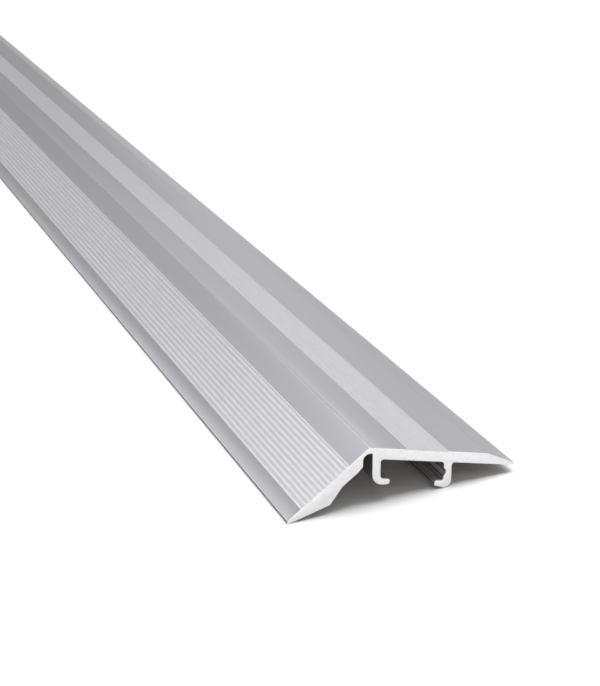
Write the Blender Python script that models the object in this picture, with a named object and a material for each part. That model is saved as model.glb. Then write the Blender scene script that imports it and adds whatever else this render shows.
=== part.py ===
"""Ramped threshold strip: one extruded aluminium cover profile over hidden fixings that slide in its channel.

X runs across the doorway, +Y along the strip and +Z up, in metres. The origin lies on the lower floor, on the
line of the fixing screws, halfway along the strip. The ramp's nose is at -X and the wing's at +X.
"""

import math

import bmesh
import bpy
from mathutils import Vector
from mathutils.geometry import delaunay_2d_cdt

MM = 0.001

# The strip as a whole
STRIP_LENGTH = 900 * MM
STRIP_WIDTH = 48 * MM
RAMP_NOSE_X = -25.6 * MM
NOSE_HEIGHT = 0.6 * MM
NOSE_RADIUS = 0.18 * MM

# The ramp, from its nose on the lower floor up to the crest
RAMP_SKIN = 2.6 * MM
NOSE_FLAT = 0.5 * MM
FOOT_RUN = 8.6 * MM
FOOT_SLOPE = math.radians(13.0)
FOOT_RADIUS = 0.3 * MM
FOOT_BACK_SLOPE = math.radians(53.0)
SKIN_FILLET = 0.6 * MM
SKIN_END_GAP = 2.95 * MM
SKIN_END_RADIUS = 0.5 * MM
SKIN_END_STEP = 1.0 * MM
CREST_OVERHANG = 0.57 * MM
CREST_RADIUS = 0.15 * MM
CREST_DIP = 0.5 * MM
CREST_DIP_DEPTH = 0.06 * MM
CREST_DIP_RADIUS = 0.2 * MM
RAMP_POCKET_WIDTH = 1.95 * MM
RAMP_POCKET_RADIUS = 1.15 * MM
RAMP_POCKET_TOP = 1.15 * MM
RAMP_POCKET_FILLET = 0.3 * MM

# The deck and its wing, one slab that falls from the crest to the wing's nose. Its depth is measured straight down.
WING_NOSE_LIFT = 1.46 * MM
DECK_DEPTH = 2.33 * MM
DECK_START = 0.9 * MM
CREST_STAND = 0.34 * MM
RECESS_START = 7.22 * MM
RECESS_WIDTH = 9.2 * MM
RECESS_DEPTH = 0.18 * MM
RECESS_WALL = 0.25 * MM
BEVEL_RUN = 6.2 * MM
BEVEL_RADIUS = 0.4 * MM

# The anti-slip ribs on the ramp and in the deck's recess
RIB_PITCH = 1.0 * MM
RIB_CREST = 0.3 * MM
RIB_FLANK = 0.2 * MM
RAMP_RIBS = 12
RAMP_RIB_START = 3.2 * MM
RAMP_RIB_HEIGHT = 0.13 * MM
DECK_RIBS = 9
DECK_RIB_HEIGHT = 0.08 * MM

# The channel: two legs, each ending in a hook whose lip holds the fixings. The right hook stands on the floor, so
# the deck's height follows from that hook, the channel and the deck's own depth.
CHANNEL_WIDTH = 13.5 * MM
CHANNEL_DEPTH = 4.05 * MM
LEG_THICKNESS = 1.7 * MM
LIP_LENGTH = 1.95 * MM
LEFT_LIP_THICKNESS = 1.1 * MM
LEFT_HOOK_SLOPE = math.radians(8.0)
LEFT_HOOK_RADIUS = 2.6 * MM
RIGHT_LIP_THICKNESS = 1.12 * MM
RIGHT_HOOK_SLOPE = math.radians(25.0)
RIGHT_HOOK_RADIUS = 1.27 * MM
LIP_RADIUS = 0.42 * MM
INNER_FILLET = 0.5 * MM
HOOK_FILLET = 0.8 * MM
LEG_GROOVE_RADIUS = 1.1 * MM
LEG_GROOVE_DEPTH = 0.45 * MM
LEG_GROOVE_RISE = 1.87 * MM

# The hidden fixings: slider, screw and floor plug
FIXING_COUNT = 7
END_DISTANCE = 60 * MM
SLIDE_CLEARANCE = 0.35 * MM
SLIDER_LENGTH = 24 * MM
SLIDER_RADIUS = 0.3 * MM
SLIDER_WALL = 0.65 * MM
SOLE_RELIEF_MARGIN = 0.75 * MM
SOLE_RELIEF_DEPTH = 0.4 * MM
SCREW_RADIUS = 2.0 * MM
SCREW_LENGTH = 34 * MM
SCREW_HEAD_HEIGHT = 1.8 * MM
SCREW_HEAD_DOME = 1.0 * MM
SCREW_TIP = 4.0 * MM
SCREW_RECESS_DEPTH = 1.1 * MM
SCREW_RECESS_WIDTH = 0.9 * MM
SCREW_RECESS_MARGIN = 0.45 * MM
SCREW_CLEARANCE = 0.3 * MM
HEAD_SEAT = 0.45 * MM
PLUG_WALL = 1.1 * MM
PLUG_LENGTH = 30 * MM
PLUG_COLLAR = 1.5 * MM
PLUG_BARBS = 4
PLUG_BARB = 0.35 * MM
PLUG_BARB_STEP = 0.05 * MM
PLUG_SLOT = 1.0 * MM
PLUG_SOLID = 8.0 * MM
# Shares of the whole: the head's flat top, where a barb is widest and where it ends, and the plug's tapered end
HEAD_TOP_SHARE = 0.7
BARB_WIDEST = 0.6
BARB_END = 0.75
PLUG_TAPER = 0.5

ARC_STEPS = 5
ROUND_SIDES = 16
CUTTER_OVERRUN = 1.0 * MM
COVER_SMOOTHING = math.radians(25.0)
FIXING_SMOOTHING = math.radians(30.0)

# The channel's sides and lips
WING_NOSE_X = RAMP_NOSE_X + STRIP_WIDTH
LEG_INNER = CHANNEL_WIDTH / 2
LEG_OUTER = LEG_INNER + LEG_THICKNESS
LIP_TIP = LEG_INNER - LIP_LENGTH
HOOK_RUN = LIP_LENGTH + LEG_THICKNESS

# The right hook's round corner touches the floor, so the lines that it rounds cross a little below the floor
RIGHT_HOOK_RISE = math.tan(RIGHT_HOOK_SLOPE)
RIGHT_HOOK_LOW = RIGHT_HOOK_RADIUS * (1 - RIGHT_HOOK_RISE - 1 / math.cos(RIGHT_HOOK_SLOPE))
RIGHT_LIP_UNDER = RIGHT_HOOK_LOW + HOOK_RUN * RIGHT_HOOK_RISE

# The deck's line goes through its height over the right lip's tip and its height at the wing's nose
DECK_OVER_LIP = RIGHT_LIP_UNDER + RIGHT_LIP_THICKNESS + CHANNEL_DEPTH + DECK_DEPTH
DECK_FALL = (DECK_OVER_LIP - WING_NOSE_LIFT - DECK_DEPTH) / (WING_NOSE_X - LIP_TIP)
DECK_SLOPE = math.atan(DECK_FALL)

# The crest stands over the left leg, and the ramp climbs to it from its nose
CREST_X = -LEG_OUTER - CREST_OVERHANG
DECK_START_X = CREST_X + DECK_START
DECK_START_Z = DECK_OVER_LIP + (LIP_TIP - DECK_START_X) * DECK_FALL
CREST_Z = DECK_START_Z + CREST_STAND
RAMP_RISE = (CREST_Z - NOSE_HEIGHT) / (CREST_X - RAMP_NOSE_X)
RAMP_SLOPE = math.atan(RAMP_RISE)

# The fixings: bores, the screw's head that fits the slider's neck, and the plug round the screw
SLIDER_HEAD = LEG_INNER - SLIDE_CLEARANCE
SLIDER_NECK = LIP_TIP - SLIDE_CLEARANCE
HEAD_BORE = SLIDER_NECK - SLIDER_WALL
SCREW_HEAD_RADIUS = HEAD_BORE - SCREW_CLEARANCE
SHANK_BORE = SCREW_RADIUS + SCREW_CLEARANCE
PLUG_RADIUS = SHANK_BORE + PLUG_WALL
PLUG_TOP = -SCREW_CLEARANCE


def clear_scene():
    for thing in list(bpy.data.objects):
        bpy.data.objects.remove(thing, do_unlink=True)


def make_material(name, colour, metallic, roughness):
    material = bpy.data.materials.new(name)
    material.use_nodes = True
    shader = material.node_tree.nodes["Principled BSDF"]
    shader.inputs["Base Color"].default_value = (*colour, 1.0)
    shader.inputs["Metallic"].default_value = metallic
    shader.inputs["Roughness"].default_value = roughness
    return material


def add_object(name, mesh, material):
    piece = bpy.data.objects.new(name, mesh)
    bpy.context.scene.collection.objects.link(piece)
    mesh.materials.clear()
    mesh.materials.append(material)
    return piece


def deck_top(x):
    """Height of the deck's top surface, without its recess, at x."""
    return DECK_START_Z - (x - DECK_START_X) * DECK_FALL


def deck_under(x):
    return deck_top(x) - DECK_DEPTH


def lip_top(x):
    return deck_under(x) - CHANNEL_DEPTH


def ramp_top(x):
    return NOSE_HEIGHT + (x - RAMP_NOSE_X) * RAMP_RISE


def corner(x, z, radius=0.0):
    return (Vector((x, z)), radius)


def round_corners(corners):
    """The closed outline through the corners, with each corner that has a radius turned into an arc."""
    outline = []
    for index, (point, radius) in enumerate(corners):
        if radius == 0.0:
            outline.append(point)
            continue
        to_last = (corners[index - 1][0] - point).normalized()
        to_next = (corners[(index + 1) % len(corners)][0] - point).normalized()
        half_angle = to_last.angle(to_next) / 2
        reach = radius / math.tan(half_angle)
        centre = point + (to_last + to_next).normalized() * (radius / math.sin(half_angle))
        first = point + to_last * reach - centre
        last = point + to_next * reach - centre
        sweep = first.angle_signed(last)
        for step in range(ARC_STEPS + 1):
            turn = -sweep * step / ARC_STEPS
            spoke = Vector((first.x * math.cos(turn) - first.y * math.sin(turn),
                            first.x * math.sin(turn) + first.y * math.cos(turn)))
            outline.append(centre + spoke)
    return outline


def rib_corners(start, along, count, height):
    """Ribs that rise by height to the right of the direction along, from a floor that starts at start."""
    up = Vector((along.y, -along.x))
    gap = RIB_PITCH - RIB_CREST - 2 * RIB_FLANK
    corners = []
    for rib in range(count):
        foot = start + along * (rib * RIB_PITCH + gap / 2)
        for distance, rise in ((0.0, 0.0), (RIB_FLANK, height), (RIB_FLANK + RIB_CREST, height),
                               (2 * RIB_FLANK + RIB_CREST, 0.0)):
            point = foot + along * distance + up * rise
            corners.append((point, 0.0))
    return corners


def cover_corners():
    """The cover's section, counter-clockwise as seen from the front end: underside from left to right, then back
    over the top."""
    foot_x = RAMP_NOSE_X + FOOT_RUN
    foot_z = (FOOT_RUN - NOSE_RADIUS) * math.tan(FOOT_SLOPE)
    skin_drop = RAMP_SKIN / math.cos(RAMP_SLOPE)
    # The back of the foot meets the skin's underside where the two lines cross
    back_rise = math.tan(FOOT_BACK_SLOPE)
    skin_x = (ramp_top(foot_x) - skin_drop - foot_z) / (back_rise - RAMP_RISE) + foot_x
    pocket_x = -LEG_OUTER - RAMP_POCKET_WIDTH
    pocket_top = deck_top(-LEG_OUTER) - RAMP_POCKET_TOP
    skin_end_x = -LEG_OUTER - SKIN_END_GAP
    skin_end_z = ramp_top(skin_end_x) - skin_drop
    underside = [
        corner(RAMP_NOSE_X, 0.0, NOSE_RADIUS),
        corner(RAMP_NOSE_X + NOSE_FLAT, 0.0),
        corner(foot_x, foot_z, FOOT_RADIUS),
        corner(skin_x, ramp_top(skin_x) - skin_drop, SKIN_FILLET),
        corner(skin_end_x, skin_end_z, SKIN_END_RADIUS),
        corner(pocket_x, skin_end_z + SKIN_END_STEP, SKIN_END_RADIUS),
        corner(pocket_x, pocket_top, RAMP_POCKET_RADIUS),
        corner(-LEG_OUTER, pocket_top, RAMP_POCKET_FILLET),
    ]
    left_lip_under = lip_top(-LIP_TIP) - LEFT_LIP_THICKNESS
    left_hook = [
        corner(-LEG_OUTER, left_lip_under + HOOK_RUN * math.tan(LEFT_HOOK_SLOPE), LEFT_HOOK_RADIUS),
        corner(-LIP_TIP, left_lip_under, LIP_RADIUS),
        corner(-LIP_TIP, lip_top(-LIP_TIP), LIP_RADIUS),
        corner(-LEG_INNER, lip_top(-LEG_INNER), HOOK_FILLET),
    ]
    right_hook = [
        corner(LEG_INNER, lip_top(LEG_INNER), INNER_FILLET),
        corner(LIP_TIP, lip_top(LIP_TIP), LIP_RADIUS),
        corner(LIP_TIP, RIGHT_LIP_UNDER, LIP_RADIUS),
        corner(LEG_OUTER, RIGHT_HOOK_LOW, RIGHT_HOOK_RADIUS),
    ]
    channel_top = [
        corner(-LEG_INNER, deck_under(-LEG_INNER), INNER_FILLET),
        corner(LEG_INNER, deck_under(LEG_INNER), HOOK_FILLET),
    ]
    channel_top += leg_groove()
    wing = [
        corner(LEG_OUTER, deck_under(LEG_OUTER), INNER_FILLET),
        corner(WING_NOSE_X, deck_under(WING_NOSE_X), NOSE_RADIUS),
        corner(WING_NOSE_X, deck_under(WING_NOSE_X) + NOSE_HEIGHT, NOSE_RADIUS),
        corner(WING_NOSE_X - BEVEL_RUN, deck_top(WING_NOSE_X - BEVEL_RUN), BEVEL_RADIUS),
    ]
    return underside + left_hook + channel_top + right_hook + wing + deck_corners() + ramp_corners()


def leg_groove():
    """The round groove down the right leg's inner face, from its upper edge to its lower one."""
    reach = math.acos(1 - LEG_GROOVE_DEPTH / LEG_GROOVE_RADIUS)
    centre_x = LEG_INNER + LEG_GROOVE_DEPTH - LEG_GROOVE_RADIUS
    centre_z = lip_top(LEG_INNER) + LEG_GROOVE_RISE
    corners = []
    for step in range(2 * ARC_STEPS + 1):
        turn = reach * (1 - step / ARC_STEPS)
        corners.append(corner(centre_x + LEG_GROOVE_RADIUS * math.cos(turn),
                              centre_z + LEG_GROOVE_RADIUS * math.sin(turn)))
    return corners


def deck_corners():
    """The deck's top, from the wing's edge of the recess back to the crest."""
    along = Vector((-math.cos(DECK_SLOPE), math.sin(DECK_SLOPE)))
    down = Vector((-math.sin(DECK_SLOPE), -math.cos(DECK_SLOPE)))
    start = Vector((DECK_START_X, DECK_START_Z))
    far_edge = start - along * (RECESS_START + RECESS_WIDTH)
    near_edge = start - along * RECESS_START
    rib_margin = (RECESS_WIDTH - DECK_RIBS * RIB_PITCH) / 2
    sink = down * RECESS_DEPTH
    first_rib = far_edge + sink + along * rib_margin
    corners = [(far_edge, 0.0), (far_edge + sink + along * RECESS_WALL, 0.0)]
    corners += rib_corners(first_rib, along, DECK_RIBS, DECK_RIB_HEIGHT)
    corners += [(near_edge + sink - along * RECESS_WALL, 0.0), (near_edge, 0.0), (start, 0.0)]
    dip_x = CREST_X + CREST_DIP
    corners.append(corner(dip_x, deck_top(dip_x) - CREST_DIP_DEPTH, CREST_DIP_RADIUS))
    return corners


def ramp_corners():
    """The crest, then the ramp's top down to the nose, with its ribs sunk level with the surface."""
    along = Vector((-math.cos(RAMP_SLOPE), -math.sin(RAMP_SLOPE)))
    down = Vector((-along.y, along.x))
    nose = Vector((RAMP_NOSE_X, NOSE_HEIGHT))
    top_of_ribs = nose - along * (RAMP_RIB_START + RAMP_RIBS * RIB_PITCH)
    foot_of_ribs = nose - along * RAMP_RIB_START
    sink = down * RAMP_RIB_HEIGHT
    corners = [corner(CREST_X, CREST_Z, CREST_RADIUS), (top_of_ribs, 0.0)]
    corners += rib_corners(top_of_ribs + sink, along, RAMP_RIBS, RAMP_RIB_HEIGHT)
    corners += [(foot_of_ribs, 0.0), corner(nose.x, nose.y, NOSE_RADIUS)]
    return corners


def triangles_of(outline):
    """Triangles, as indices, that fill the closed outline. They are found in millimetres, where its short edges are
    well above the rounding of the search."""
    points = [point / MM for point in outline]
    filled = delaunay_2d_cdt(points, [], [list(range(len(points)))], 1, 1e-6)
    originals = filled[3]
    return [[originals[index][0] for index in triangle] for triangle in filled[2]]


def extrude_outline(name, outline, start_y, end_y):
    """A closed prism of the outline, which lies in the XZ plane, from start_y to end_y."""
    shape = bmesh.new()
    front = [shape.verts.new((point.x, start_y, point.y)) for point in outline]
    back = [shape.verts.new((point.x, end_y, point.y)) for point in outline]
    for triangle in triangles_of(outline):
        shape.faces.new([front[index] for index in triangle])
        shape.faces.new([back[index] for index in reversed(triangle)])
    for index in range(len(outline)):
        last = index - 1
        shape.faces.new((front[index], front[last], back[last], back[index]))
    bmesh.ops.recalc_face_normals(shape, faces=shape.faces)
    mesh = bpy.data.meshes.new(name)
    shape.to_mesh(mesh)
    shape.free()
    return mesh


def turn_profile(name, profile, sides):
    """A closed solid of revolution about Z from a profile of (radius, height), its ends closed on the axis or in a
    ring."""
    shape = bmesh.new()
    rings = []
    for radius, height in profile:
        if radius == 0.0:
            rings.append([shape.verts.new((0.0, 0.0, height))] * sides)
            continue
        ring = []
        for side in range(sides):
            angle = math.tau * side / sides
            ring.append(shape.verts.new((radius * math.cos(angle), radius * math.sin(angle), height)))
        rings.append(ring)
    for index in range(len(rings)):
        upper = rings[index - 1]
        lower = rings[index]
        if upper[0] == upper[1] and lower[0] == lower[1]:
            continue
        for side in range(sides):
            following = (side + 1) % sides
            loop = [upper[side], upper[following], lower[following], lower[side]]
            shape.faces.new(list(dict.fromkeys(loop)))
    bmesh.ops.recalc_face_normals(shape, faces=shape.faces)
    mesh = bpy.data.meshes.new(name)
    shape.to_mesh(mesh)
    shape.free()
    return mesh


def box_mesh(name, low, high):
    shape = bmesh.new()
    bmesh.ops.create_cube(shape, size=1.0)
    size = Vector(high) - Vector(low)
    middle = (Vector(high) + Vector(low)) / 2
    for vert in shape.verts:
        vert.co = Vector((vert.co.x * size.x, vert.co.y * size.y, vert.co.z * size.z)) + middle
    mesh = bpy.data.meshes.new(name)
    shape.to_mesh(mesh)
    shape.free()
    return mesh


def add_cutter(name, mesh):
    cutter = bpy.data.objects.new(name, mesh)
    bpy.context.scene.collection.objects.link(cutter)
    cutter.hide_render = True
    cutter.display_type = "WIRE"
    return cutter


def cut(piece, cutters):
    """The piece's mesh with each cutter's shape taken away."""
    for cutter in cutters:
        modifier = piece.modifiers.new(cutter.name, "BOOLEAN")
        modifier.operation = "DIFFERENCE"
        modifier.solver = "EXACT"
        modifier.object = cutter
    graph = bpy.context.evaluated_depsgraph_get()
    mesh = bpy.data.meshes.new_from_object(piece.evaluated_get(graph))
    piece.modifiers.clear()
    for cutter in cutters:
        bpy.data.objects.remove(cutter, do_unlink=True)
    return mesh


def slider_corners():
    """The slider's section: a head that fits the channel over the lips, and a neck that stands on the floor."""
    drop = SLIDE_CLEARANCE / math.cos(DECK_SLOPE)
    return [
        corner(-SLIDER_NECK, 0.0, SLIDER_RADIUS),
        corner(SLIDER_NECK, 0.0, SLIDER_RADIUS),
        corner(SLIDER_NECK, lip_top(SLIDER_NECK) + drop),
        corner(SLIDER_HEAD, lip_top(SLIDER_HEAD) + drop, HOOK_FILLET),
        corner(SLIDER_HEAD, deck_under(SLIDER_HEAD) - drop, HOOK_FILLET),
        corner(-SLIDER_HEAD, deck_under(-SLIDER_HEAD) - drop, HOOK_FILLET),
        corner(-SLIDER_HEAD, lip_top(-SLIDER_HEAD) + drop, HOOK_FILLET),
        corner(-SLIDER_NECK, lip_top(-SLIDER_NECK) + drop),
    ]


def seat_height():
    """The floor of the slider's counterbore, which carries the screw's head."""
    return lip_top(0.0) + HEAD_SEAT


def slider_mesh(material):
    """The slider, bored for its screw, its sole relieved across the middle so that it clears the plug's collar."""
    outline = round_corners(slider_corners())
    half = SLIDER_LENGTH / 2
    piece = add_object("slider", extrude_outline("slider", outline, -half, half), material)
    top = CREST_Z
    bottom = -CUTTER_OVERRUN
    profile = [(0.0, top), (HEAD_BORE, top), (HEAD_BORE, seat_height()), (SHANK_BORE, seat_height()),
               (SHANK_BORE, bottom), (0.0, bottom)]
    relief = PLUG_RADIUS + PLUG_BARB + SOLE_RELIEF_MARGIN
    across = LEG_OUTER
    cutters = [
        add_cutter("slider_bore", turn_profile("slider_bore", profile, ROUND_SIDES)),
        add_cutter("sole_relief", box_mesh("sole_relief", (-across, -relief, bottom),
                                           (across, relief, SOLE_RELIEF_DEPTH))),
    ]
    mesh = cut(piece, cutters)
    bpy.data.objects.remove(piece, do_unlink=True)
    return mesh


def screw_mesh(material):
    """A pan-head screw with a cross recess, its head just clear of the counterbore's floor."""
    head_low = seat_height() + SCREW_CLEARANCE
    head_high = head_low + SCREW_HEAD_HEIGHT
    tip = head_low - SCREW_LENGTH
    head_top = HEAD_TOP_SHARE * SCREW_HEAD_RADIUS
    profile = [(0.0, head_high), (head_top, head_high),
               (SCREW_HEAD_RADIUS, head_high - SCREW_HEAD_DOME), (SCREW_HEAD_RADIUS, head_low),
               (SCREW_RADIUS, head_low), (SCREW_RADIUS, tip + SCREW_TIP), (0.0, tip)]
    piece = add_object("screw", turn_profile("screw", profile, ROUND_SIDES), material)
    low = head_high - SCREW_RECESS_DEPTH
    high = head_high + CUTTER_OVERRUN
    wide = SCREW_RECESS_WIDTH / 2
    span = head_top - SCREW_RECESS_MARGIN
    blades = [
        add_cutter("blade_x", box_mesh("blade_x", (-span, -wide, low), (span, wide, high))),
        add_cutter("blade_y", box_mesh("blade_y", (-wide, -span, low), (wide, span, high))),
    ]
    mesh = cut(piece, blades)
    bpy.data.objects.remove(piece, do_unlink=True)
    return mesh


def plug_mesh(material):
    """A barbed tube, split from its lower end, that the screw spreads in the floor."""
    widest = PLUG_RADIUS + PLUG_BARB
    bottom = PLUG_TOP - PLUG_LENGTH
    barb_top = PLUG_TOP - PLUG_COLLAR
    barb_pitch = (PLUG_LENGTH - PLUG_COLLAR - PLUG_WALL) / PLUG_BARBS
    profile = [(SHANK_BORE, PLUG_TOP), (widest, PLUG_TOP), (widest, barb_top)]
    for barb in range(PLUG_BARBS):
        height = barb_top - barb * barb_pitch
        profile += [(PLUG_RADIUS, height - PLUG_BARB_STEP), (widest, height - BARB_WIDEST * barb_pitch),
                    (PLUG_RADIUS, height - BARB_END * barb_pitch)]
    tapered = PLUG_RADIUS - PLUG_TAPER * PLUG_WALL
    profile += [(PLUG_RADIUS, bottom + PLUG_WALL), (tapered, bottom), (SHANK_BORE, bottom)]
    piece = add_object("plug", turn_profile("plug", profile, ROUND_SIDES), material)
    reach = 2 * PLUG_RADIUS
    slot = PLUG_SLOT / 2
    slot_box = box_mesh("slot", (-reach, -slot, bottom - CUTTER_OVERRUN), (reach, slot, PLUG_TOP - PLUG_SOLID))
    mesh = cut(piece, [add_cutter("slot", slot_box)])
    bpy.data.objects.remove(piece, do_unlink=True)
    return mesh


def smooth(mesh, angle):
    mesh.shade_smooth()
    mesh.set_sharp_from_angle(angle=angle)


def main():
    clear_scene()
    aluminium = make_material("satin_aluminium", (0.78, 0.78, 0.80), 1.0, 0.38)
    nylon = make_material("grey_nylon", (0.16, 0.16, 0.17), 0.0, 0.5)
    steel = make_material("zinc_steel", (0.72, 0.73, 0.75), 1.0, 0.3)
    plug_nylon = make_material("plug_nylon", (0.62, 0.62, 0.60), 0.0, 0.55)

    outline = round_corners(cover_corners())
    cover = extrude_outline("cover_profile", outline, -STRIP_LENGTH / 2, STRIP_LENGTH / 2)
    smooth(cover, COVER_SMOOTHING)
    add_object("cover_profile", cover, aluminium)

    pieces = (("slider", slider_mesh(nylon), nylon), ("screw", screw_mesh(steel), steel),
              ("floor_plug", plug_mesh(plug_nylon), plug_nylon))
    for name, mesh, material in pieces:
        smooth(mesh, FIXING_SMOOTHING)
    spacing = (STRIP_LENGTH - 2 * END_DISTANCE) / (FIXING_COUNT - 1)
    for number in range(FIXING_COUNT):
        y = -STRIP_LENGTH / 2 + END_DISTANCE + number * spacing
        for name, mesh, material in pieces:
            piece = add_object(f"{name}_{number + 1}", mesh, material)
            piece.location = (0.0, y, 0.0)


main()
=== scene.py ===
"""Looks for the ramped threshold strip: its anodised cover, the fixings in it, and a white studio."""

import math

import bmesh
import bpy
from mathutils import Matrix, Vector


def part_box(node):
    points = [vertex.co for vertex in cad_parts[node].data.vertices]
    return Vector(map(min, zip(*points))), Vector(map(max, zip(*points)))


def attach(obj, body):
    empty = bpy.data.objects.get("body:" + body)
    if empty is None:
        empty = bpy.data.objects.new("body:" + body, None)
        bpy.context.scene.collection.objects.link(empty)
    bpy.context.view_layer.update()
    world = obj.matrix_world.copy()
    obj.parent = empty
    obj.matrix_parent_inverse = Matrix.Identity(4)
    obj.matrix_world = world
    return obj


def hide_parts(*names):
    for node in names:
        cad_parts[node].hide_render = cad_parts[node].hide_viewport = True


MM = 0.001

# The camera stands off the near end of the ramp's nose, level from side to side
VIEW_AZIMUTH = math.radians(-24.01)
VIEW_ELEVATION = math.radians(24.12)
CAMERA_FROM_NOSE = Vector((-87.0, -201.0, 134.2)) * MM
SENSOR = 36.0
LENS = 73.47
CLIP_START = 5.0 * MM

# The floor's top lies just under the strip's lowest points
FLOOR_SIZE = 6.0
FLOOR_GAP = 0.02 * MM
FLOOR_COLOUR = (0.9, 0.9, 0.9)
FLOOR_ROUGHNESS = 0.9

# Soft boxes: the direction to each from the strip's near end, its distance, its width and height, its power
SOFT_BOXES = {
    "overhead": (Vector((0.0, 0.0, 1.0)), 2.6, (1.2, 1.2), 36.0),
    "front_top": (Vector((0.1, -0.6, 1.0)), 2.6, (1.8, 1.8), 3.0),
    "wing_top": (Vector((0.5, 0.0, 1.0)), 2.6, (1.2, 1.2), 22.0),
    "wing_near": (Vector((0.8, 0.1, 0.6)), 0.4, (0.2, 0.2), 0.15),
    "wing_back": (Vector((0.6, 0.8, 0.3)), 3.0, (1.0, 1.0), 2.5),
    "wing_low": (Vector((0.9, -0.45, 0.28)), 3.0, (1.0, 0.6), 6.0),
    "back": (Vector((0.0, 1.0, 0.6)), 3.6, (1.6, 1.6), 1.2),
    "ramp_back": (Vector((-0.6, 0.45, 0.8)), 3.0, (1.6, 1.6), 5.0),
    "ramp_side": (Vector((-0.9, 0.5, 0.45)), 3.0, (1.2, 1.2), 18.0),
    "end_fill": (Vector((-0.1, -1.0, 0.06)), 3.0, (1.0, 0.2), 20.0),
}

SKY_STRENGTH = 0.26
SKY_COLOUR = (1.0, 0.99, 1.0, 1.0)

# How many scales of noise the mottling and the grain have, and the saw's marks on the cut ends
MOTTLE_DETAIL = 3.0
GRAIN_DETAIL = 4.0
NOISE_ROUGHNESS = 0.6
SAW_SPACING = 0.22 * MM
SAW_CENTRE = (-50.0 * MM, 0.0, -110.0 * MM)

# The cover's edges as the die leaves them, and its ribbed bands measured across from the ramp's nose
WELD_DISTANCE = 0.001 * MM
EDGE_WIDTH = 0.05 * MM
EDGE_SEGMENTS = 2
FLAT_ANGLE = math.radians(0.2)
EDGE_ANGLE = math.radians(18.0)
# The ribbed bands get a lighter colour, a painted highlight for the light their fine ribs catch
RIBBED_BANDS = ((2.6 * MM, 12.5 * MM), (24.5 * MM, 33.4 * MM))
END_FACE_NORMAL = 0.9
# Cover faces whose normal's Z is under this get painted shade: a dark colour because they face away from the
# lamps
UPWARD_NORMAL = 0.1

# The fixings: the slider's broken edges, the screw's head, thread and recess, and the plug's bore and barbs
FIXING_COUNT = 7
SLIDER_EDGE = 0.18 * MM
SLIDER_EDGE_ANGLE = math.radians(35.0)
ROUND_SIDES = 40
ARC_STEPS = 6
SCREW_RADIUS = 2.0 * MM
THREAD_ROOT = 1.45 * MM
THREAD_PITCH = 1.8 * MM
THREAD_STEPS = 10
THREAD_SIDES = 28
THREAD_FLAT = 0.16
THREAD_STEEPNESS = 1.6
THREAD_POINT = 0.05 * MM
PLAIN_SHANK = 5.0 * MM
SCREW_TIP = 4.0 * MM
HEAD_HEIGHT = 1.8 * MM
HEAD_DOME = 1.0 * MM
HEAD_FLAT = 0.55
HEAD_EDGE = 0.15 * MM
RECESS_REACH = 2.0 * MM
RECESS_DEPTH = 1.15 * MM
RECESS_WIDTH = 0.45 * MM
RECESS_TAPER = 0.55
PLUG_BORE = 2.3 * MM
PLUG_COLLAR = 1.5 * MM
PLUG_BARBS = 4
PLUG_BARB = 0.35 * MM
PLUG_EDGE = 0.15 * MM
BARB_TIP = 0.02 * MM
BARB_BREAK = 0.03 * MM
BARB_SWELL = 0.35
# How far down a barb's pitch its points lie: neck, foot, swell, under the tip, tip, break and neck again
BARB_SHARES = (0.02, 0.12, 0.35, 0.58, 0.60, 0.62, 0.74)
PLUG_SOLID = 8.0 * MM
PLUG_SLOT = 0.5 * MM
PLUG_END = 1.1 * MM
CUTTER_OVERRUN = 1.0 * MM


# ---- materials ----

def new_node(tree, kind, attributes=None, values=None):
    """A new node with its attributes and its sockets' values set."""
    node = tree.nodes.new(kind)
    for name, value in (attributes or {}).items():
        setattr(node, name, value)
    for name, value in (values or {}).items():
        node.inputs[name].default_value = value
    return node


def map_range(tree, source, start, end):
    """The source, which runs from 0 to 1, spread from start to end."""
    spread = new_node(tree, "ShaderNodeMapRange", values={"To Min": start, "To Max": end})
    tree.links.new(source, spread.inputs["Value"])
    return spread.outputs["Result"]


def stretched(tree, scale, location=(0.0, 0.0, 0.0)):
    """The object's own coordinates, in metres, scaled by the given cells a metre."""
    place = new_node(tree, "ShaderNodeTexCoord")
    mapping = new_node(tree, "ShaderNodeMapping", values={"Scale": scale, "Location": location})
    tree.links.new(place.outputs["Object"], mapping.inputs["Vector"])
    return mapping.outputs["Vector"]


def noise(tree, scale, detail):
    texture = new_node(tree, "ShaderNodeTexNoise",
                       values={"Scale": 1.0, "Detail": detail, "Roughness": NOISE_ROUGHNESS})
    tree.links.new(stretched(tree, scale), texture.inputs["Vector"])
    return texture.outputs["Fac"]


def saw_marks(tree):
    """Arcs about a far centre in the XZ plane, as a saw blade leaves them, a little uneven.

    The texture's own rings lie 0.1 pi apart at a scale of 1.
    """
    scale = 0.1 * math.pi / SAW_SPACING
    offset = tuple(-value for value in SAW_CENTRE)
    wave = new_node(tree, "ShaderNodeTexWave", {"wave_type": "RINGS", "rings_direction": "Y"},
                    {"Scale": scale, "Distortion": 2.0, "Detail": 2.0, "Detail Scale": 1.5})
    tree.links.new(stretched(tree, (1.0, 1.0, 1.0), offset), wave.inputs["Vector"])
    return wave.outputs["Fac"]


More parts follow.
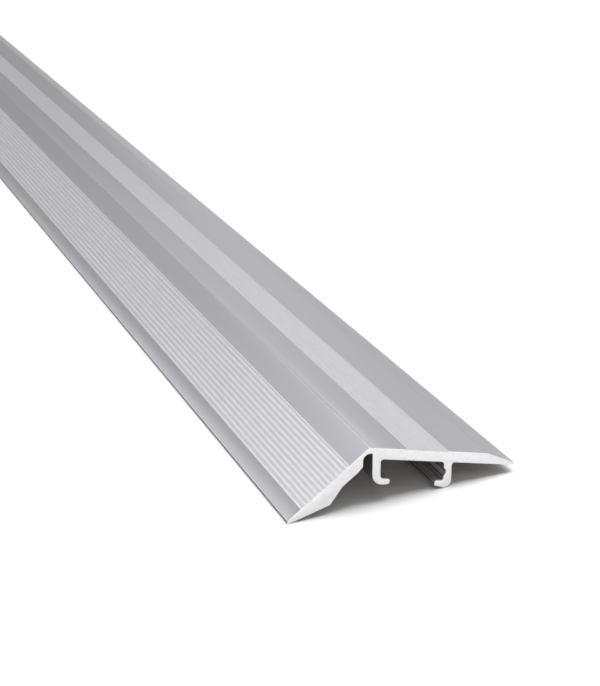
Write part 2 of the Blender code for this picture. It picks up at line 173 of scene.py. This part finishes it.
def make_surface(name, dark, light, metallic, rough, broad, fine, relief, pattern=None, sheen=0.0):
    """A finished surface: broad mottling of two colours, and a fine grain in the roughness and the relief.

    broad and fine are cells a metre along X, Y and Z. relief is the grain's height. A pattern, where there
    is one, is a function that adds the fine grain's texture in place of noise.
    """
    material = bpy.data.materials.new(name)
    material.use_nodes = True
    tree = material.node_tree
    shader = tree.nodes["Principled BSDF"]
    shader.inputs["Metallic"].default_value = metallic
    shader.inputs["Sheen Weight"].default_value = sheen
    # A Mix node's colours are its inputs 6 and 7 and its output 2
    blend = new_node(tree, "ShaderNodeMix", {"data_type": "RGBA"})
    blend.inputs[6].default_value = (*dark, 1.0)
    blend.inputs[7].default_value = (*light, 1.0)
    tree.links.new(noise(tree, broad, MOTTLE_DETAIL), blend.inputs[0])
    tree.links.new(blend.outputs[2], shader.inputs["Base Color"])
    grain = pattern(tree) if pattern else noise(tree, fine, GRAIN_DETAIL)
    tree.links.new(map_range(tree, grain, *rough), shader.inputs["Roughness"])
    bump = new_node(tree, "ShaderNodeBump", values={"Strength": 1.0, "Distance": relief})
    tree.links.new(grain, bump.inputs["Height"])
    tree.links.new(bump.outputs["Normal"], shader.inputs["Normal"])
    return material


def make_materials():
    """The surface materials by name, among them a painted highlight and a painted shade. The extruded ones
    have their grain drawn out along the strip.
    """
    drawn_broad = (500.0, 3.0, 500.0)
    drawn_fine = (9000.0, 6.0, 9000.0)
    return {
        "anodised": make_surface("anodised_aluminium", (0.54, 0.535, 0.565), (0.59, 0.585, 0.615), 1.0,
                                 (0.44, 0.52), drawn_broad, drawn_fine, 0.0015 * MM),
        # Painted highlight: the lighter colour stands in for the light the fine ribs catch
        "ribbed": make_surface("ribbed_painted_highlight_aluminium", (0.78, 0.775, 0.80), (0.82, 0.815, 0.84), 1.0,
                               (0.44, 0.50), drawn_broad, drawn_fine, 0.0002 * MM),
        # Painted shade: the dark colour stands in for the shade on the cover's faces that do not face up
        "inner": make_surface("inner_aluminium", (0.19, 0.175, 0.16), (0.25, 0.235, 0.22), 1.0, (0.48, 0.62),
                              drawn_broad, drawn_fine, 0.0015 * MM),
        "sawn": make_surface("sawn_aluminium", (0.68, 0.68, 0.69), (0.88, 0.88, 0.88), 1.0, (0.48, 0.68),
                             (900.0, 900.0, 900.0), None, 0.006 * MM, pattern=saw_marks),
        "slider": make_surface("slider_nylon", (0.035, 0.036, 0.04), (0.05, 0.051, 0.055), 0.0, (0.42, 0.6),
                               (300.0, 300.0, 300.0), (5200.0, 5200.0, 5200.0), 0.008 * MM, sheen=0.15),
        "zinc": make_surface("zinc_steel", (0.60, 0.61, 0.64), (0.74, 0.745, 0.75), 1.0, (0.22, 0.40),
                             (420.0, 420.0, 420.0), (2600.0, 2600.0, 2600.0), 0.002 * MM),
        "plug": make_surface("plug_nylon", (0.40, 0.40, 0.385), (0.47, 0.47, 0.455), 0.0, (0.45, 0.62),
                             (260.0, 260.0, 260.0), (4200.0, 4200.0, 4200.0), 0.010 * MM, sheen=0.1),
    }


# ---- mesh helpers ----

def add_piece(name, mesh, materials):
    piece = bpy.data.objects.new(name, mesh)
    bpy.context.scene.collection.objects.link(piece)
    mesh.materials.clear()
    for material in materials:
        mesh.materials.append(material)
    return piece


def mesh_of(name, shape):
    """The bmesh's shape as a new smooth mesh; the bmesh is freed."""
    mesh = bpy.data.meshes.new(name)
    shape.to_mesh(mesh)
    shape.free()
    mesh.shade_smooth()
    return mesh


def joined_facets(node, name):
    """A copy of a CAD node's mesh with its coplanar facets joined."""
    shape = bmesh.new()
    shape.from_mesh(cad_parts[node].data)
    bmesh.ops.remove_doubles(shape, verts=shape.verts, dist=WELD_DISTANCE)
    bmesh.ops.dissolve_limit(shape, angle_limit=FLAT_ANGLE, verts=shape.verts, edges=shape.edges)
    return mesh_of(name, shape)


def break_edges(piece, width, angle):
    edges = piece.modifiers.new("edges", "BEVEL")
    edges.width = width
    edges.segments = EDGE_SEGMENTS
    edges.limit_method = "ANGLE"
    edges.angle_limit = angle
    edges.harden_normals = True


def ring_of(shape, sides, radius_at, height):
    """A ring of new vertices about Z, its radius a function of the angle."""
    ring = []
    for side in range(sides):
        angle = math.tau * side / sides
        radius = radius_at(angle)
        ring.append(shape.verts.new((radius * math.cos(angle), radius * math.sin(angle), height)))
    return ring


def turned(name, profile):
    """A closed solid of revolution about Z from a profile of (radius, height), closed back to its start."""
    shape = bmesh.new()
    rings = [ring_of(shape, ROUND_SIDES, lambda angle: radius, height) for radius, height in profile]
    close_rings(shape, rings, ROUND_SIDES)
    return mesh_of(name, shape)


def close_rings(shape, rings, sides):
    """Faces between each ring and the next, and from the last to the first unless both are on the axis."""
    for index in range(len(rings)):
        upper = rings[index - 1]
        lower = rings[index]
        if upper[0] == upper[1] and lower[0] == lower[1]:
            continue
        for side in range(sides):
            following = (side + 1) % sides
            loop = [upper[side], upper[following], lower[following], lower[side]]
            shape.faces.new(list(dict.fromkeys(loop)))
    bmesh.ops.recalc_face_normals(shape, faces=shape.faces)


def arc(centre_radius, centre_height, radius, start, end):
    """Points of a quarter turn or less in a profile, from start to end degrees, 0 being outward and 90 up."""
    points = []
    for step in range(ARC_STEPS + 1):
        angle = math.radians(start + (end - start) * step / ARC_STEPS)
        points.append((centre_radius + radius * math.cos(angle), centre_height + radius * math.sin(angle)))
    return points


def cut(mesh, cutters):
    """The mesh with each cutter's shape taken away."""
    body = bpy.data.objects.new("body", mesh)
    bpy.context.scene.collection.objects.link(body)
    tools = []
    for cutter in cutters:
        tool = bpy.data.objects.new("tool", cutter)
        bpy.context.scene.collection.objects.link(tool)
        modifier = body.modifiers.new("cut", "BOOLEAN")
        modifier.operation = "DIFFERENCE"
        modifier.solver = "EXACT"
        modifier.object = tool
        tools.append(tool)
    graph = bpy.context.evaluated_depsgraph_get()
    result = bpy.data.meshes.new_from_object(body.evaluated_get(graph))
    for thing in tools + [body]:
        bpy.data.objects.remove(thing, do_unlink=True)
    return result


def prism(name, outline, low, high, shrink=1.0):
    """A closed prism of a convex outline in XY from low to high, its lower end shrunk about the Z axis."""
    shape = bmesh.new()
    bottom = [shape.verts.new((x * shrink, y * shrink, low)) for x, y in outline]
    top = [shape.verts.new((x, y, high)) for x, y in outline]
    shape.faces.new(bottom)
    shape.faces.new(top)
    for index in range(len(outline)):
        shape.faces.new((bottom[index - 1], bottom[index], top[index], top[index - 1]))
    bmesh.ops.recalc_face_normals(shape, faces=shape.faces)
    return mesh_of(name, shape)


def box_outline(half_x, half_y):
    return [(-half_x, -half_y), (half_x, -half_y), (half_x, half_y), (-half_x, half_y)]


# ---- pieces ----

def cover_piece(materials):
    """The cover as the frame has it, with its edges broken as on a drawn extrusion and its ends sawn, its
    faces that do not face up darkened with painted shade and its ribbed bands lightened with a painted
    highlight.
    """
    mesh = joined_facets("cover_profile", "cover")
    order = ("anodised", "sawn", "ribbed", "inner")
    piece = add_piece("cover", mesh, [materials[name] for name in order])
    nose_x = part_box("cover_profile")[0].x
    for face in mesh.polygons:
        across = face.center.x - nose_x
        if abs(face.normal.y) > END_FACE_NORMAL:
            face.material_index = order.index("sawn")
        # Faces that do not face up are given painted shade
        elif face.normal.z < UPWARD_NORMAL:
            face.material_index = order.index("inner")
        elif any(start < across < end for start, end in RIBBED_BANDS):
            # The ribbed bands are given a painted highlight
            face.material_index = order.index("ribbed")
    break_edges(piece, EDGE_WIDTH, EDGE_ANGLE)
    return piece


def slider_piece(number, material):
    piece = add_piece(f"slider_{number}_moulded", joined_facets(f"slider_{number}", "slider"), (material,))
    break_edges(piece, SLIDER_EDGE, SLIDER_EDGE_ANGLE)
    return piece


def thread_height(turns):
    """The thread's height at this many turns along its pitch, from 0 at the root to 1 at its narrow crest."""
    distance = abs(turns % 1.0 - 0.5) * 2
    rise = min(1.0, (1.0 - distance - THREAD_FLAT) / (1.0 - 2 * THREAD_FLAT))
    return max(0.0, 1.0 - (1.0 - rise) * THREAD_STEEPNESS)


def screw_mesh(head_radius, length):
    """A pan-head wood screw: its head's top at height 0, a cross recess, a thread down to its point."""
    shape = bmesh.new()
    rings = [[shape.verts.new((0.0, 0.0, 0.0))] * THREAD_SIDES]
    flat = HEAD_FLAT * head_radius
    profile = [(flat, 0.0)]
    for step in range(1, ARC_STEPS + 1):
        angle = math.pi / 2 * step / ARC_STEPS
        profile.append((flat + (head_radius - flat) * math.sin(angle), -HEAD_DOME * (1 - math.cos(angle))))
    profile += arc(head_radius - HEAD_EDGE, HEAD_EDGE - HEAD_HEIGHT, HEAD_EDGE, 0.0, -90.0)
    profile.append((SCREW_RADIUS, -HEAD_HEIGHT))
    for radius, height in profile:
        rings.append(ring_of(shape, THREAD_SIDES, lambda angle: radius, height))
    rows = int((length - HEAD_HEIGHT - PLAIN_SHANK) / THREAD_PITCH * THREAD_STEPS)
    start = -HEAD_HEIGHT - PLAIN_SHANK
    rings.append(ring_of(shape, THREAD_SIDES, lambda angle: SCREW_RADIUS, start + THREAD_PITCH / 2))
    for row in range(rows):
        height = start - row * THREAD_PITCH / THREAD_STEPS
        taper = min(1.0, (height + length) / SCREW_TIP)
        run_out = min(1.0, row / THREAD_STEPS)

        def radius_at(angle):
            rise = thread_height(row / THREAD_STEPS + angle / math.tau)
            threaded = THREAD_ROOT + (SCREW_RADIUS - THREAD_ROOT) * rise
            return max(THREAD_POINT, taper * (SCREW_RADIUS + (threaded - SCREW_RADIUS) * run_out))

        rings.append(ring_of(shape, THREAD_SIDES, radius_at, height))
    rings.append([shape.verts.new((0.0, 0.0, -length))] * THREAD_SIDES)
    close_rings(shape, rings, THREAD_SIDES)
    blades = []
    for half_x, half_y in ((RECESS_REACH, RECESS_WIDTH), (RECESS_WIDTH, RECESS_REACH)):
        outline = box_outline(half_x, half_y)
        blades.append(prism("blade", outline, -RECESS_DEPTH, CUTTER_OVERRUN, RECESS_TAPER))
    return cut(mesh_of("screw", shape), blades)


def plug_mesh(widest, length):
    """A barbed nylon plug with its rim at height 0, split from its lower end."""
    outer = widest - PLUG_BARB
    profile = [(PLUG_BORE, -PLUG_EDGE), (PLUG_BORE + PLUG_EDGE, 0.0)]
    profile += arc(widest - PLUG_EDGE, -PLUG_EDGE, PLUG_EDGE, 90.0, 0.0)
    profile += arc(widest - PLUG_EDGE, PLUG_EDGE - PLUG_COLLAR, PLUG_EDGE, 0.0, -90.0)
    pitch = (length - PLUG_COLLAR - PLUG_END) / PLUG_BARBS
    swell = outer + BARB_SWELL * PLUG_BARB
    radii = (outer, outer, swell, widest - BARB_TIP, widest, widest - BARB_BREAK, outer)
    for barb in range(PLUG_BARBS):
        top = -PLUG_COLLAR - barb * pitch
        profile += [(radius, top - share * pitch) for radius, share in zip(radii, BARB_SHARES)]
    profile += [(outer, PLUG_END - length), (outer - PLUG_END / 2, -length), (PLUG_BORE, -length)]
    slot = prism("slot", box_outline(2 * widest, PLUG_SLOT), -length - CUTTER_OVERRUN, -PLUG_SOLID)
    return cut(turned("plug", profile), [slot])


def add_fixings(materials):
    """A slider, screw and floor plug at each fixing, each on its fixing's body."""
    low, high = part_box("screw_1")
    screw = screw_mesh((high.x - low.x) / 2, high.z - low.z)
    low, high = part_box("floor_plug_1")
    plug = plug_mesh((high.x - low.x) / 2, high.z - low.z)
    for number in range(1, FIXING_COUNT + 1):
        pieces = [("slider", "slider_nylon", slider_piece(number, materials["slider"]))]
        for kind, mesh, material, slot in (("screw", screw, "zinc", "zinc_steel"),
                                           ("floor_plug", plug, "plug", "plug_nylon")):
            low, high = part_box(f"{kind}_{number}")
            piece = add_piece(f"{kind}_{number}_detailed", mesh.copy(), (materials[material],))
            piece.data.shade_smooth()
            piece.data.set_sharp_from_angle(angle=SLIDER_EDGE_ANGLE)
            piece.location = ((low.x + high.x) / 2, (low.y + high.y) / 2, high.z)
            pieces.append((kind, slot, piece))
        for kind, slot, piece in pieces:
            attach(piece, f"fixing_{number}")
            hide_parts(f"{kind}_{number}")


# ---- studio ----

def add_floor():
    half = FLOOR_SIZE / 2
    corners = [(-half, -half), (half, -half), (half, half), (-half, half)]
    mesh = bpy.data.meshes.new("floor")
    mesh.from_pydata([(x, y, -FLOOR_GAP) for x, y in corners], [], [(0, 1, 2, 3)])
    material = bpy.data.materials.new("floor_white")
    material.use_nodes = True
    shader = material.node_tree.nodes["Principled BSDF"]
    shader.inputs["Base Color"].default_value = (*FLOOR_COLOUR, 1.0)
    shader.inputs["Roughness"].default_value = FLOOR_ROUGHNESS
    add_piece("floor", mesh, (material,))


def add_soft_boxes(middle):
    """Each soft box faces the strip's near end."""
    for name, (direction, distance, size, power) in SOFT_BOXES.items():
        data = bpy.data.lights.new(name, "AREA")
        data.shape = "RECTANGLE"
        data.size, data.size_y = size
        data.energy = power
        light = bpy.data.objects.new(name, data)
        light.location = middle + direction.normalized() * distance
        light.rotation_euler = direction.to_track_quat("Z", "Y").to_euler()
        bpy.context.scene.collection.objects.link(light)


def add_room():
    """A dim, even room, so that the soft boxes do the work."""
    world = bpy.data.worlds.new("studio")
    bpy.context.scene.world = world
    world.use_nodes = True
    sky = world.node_tree.nodes["Background"]
    sky.inputs["Color"].default_value = SKY_COLOUR
    sky.inputs["Strength"].default_value = SKY_STRENGTH


def add_camera(nose):
    data = bpy.data.cameras.new("camera")
    data.sensor_width = SENSOR
    data.lens = LENS
    data.clip_start = CLIP_START
    camera = bpy.data.objects.new("camera", data)
    camera.location = nose + CAMERA_FROM_NOSE
    ahead = Vector((-math.sin(VIEW_AZIMUTH) * math.cos(VIEW_ELEVATION),
                    math.cos(VIEW_AZIMUTH) * math.cos(VIEW_ELEVATION), -math.sin(VIEW_ELEVATION)))
    camera.rotation_euler = ahead.to_track_quat("-Z", "Y").to_euler()
    bpy.context.scene.collection.objects.link(camera)
    bpy.context.scene.camera = camera


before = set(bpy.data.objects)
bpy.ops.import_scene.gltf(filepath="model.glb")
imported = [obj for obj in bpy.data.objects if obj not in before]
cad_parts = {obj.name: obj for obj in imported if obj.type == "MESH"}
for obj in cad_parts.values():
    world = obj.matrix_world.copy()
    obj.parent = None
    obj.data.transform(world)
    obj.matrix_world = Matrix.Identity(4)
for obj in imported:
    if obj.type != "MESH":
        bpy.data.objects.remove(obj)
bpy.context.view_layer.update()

finishes_and_painted_light = make_materials()
cover = cover_piece(finishes_and_painted_light)
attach(cover, "cover")
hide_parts("cover_profile")
add_fixings(finishes_and_painted_light)

near_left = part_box("cover_profile")[0]
ramp_nose = Vector((near_left.x, near_left.y, 0.0))
add_floor()
add_soft_boxes(Vector((0.0, near_left.y, 0.0)))
add_room()
add_camera(ramp_nose)
bpy.context.scene.view_settings.view_transform = "Standard"
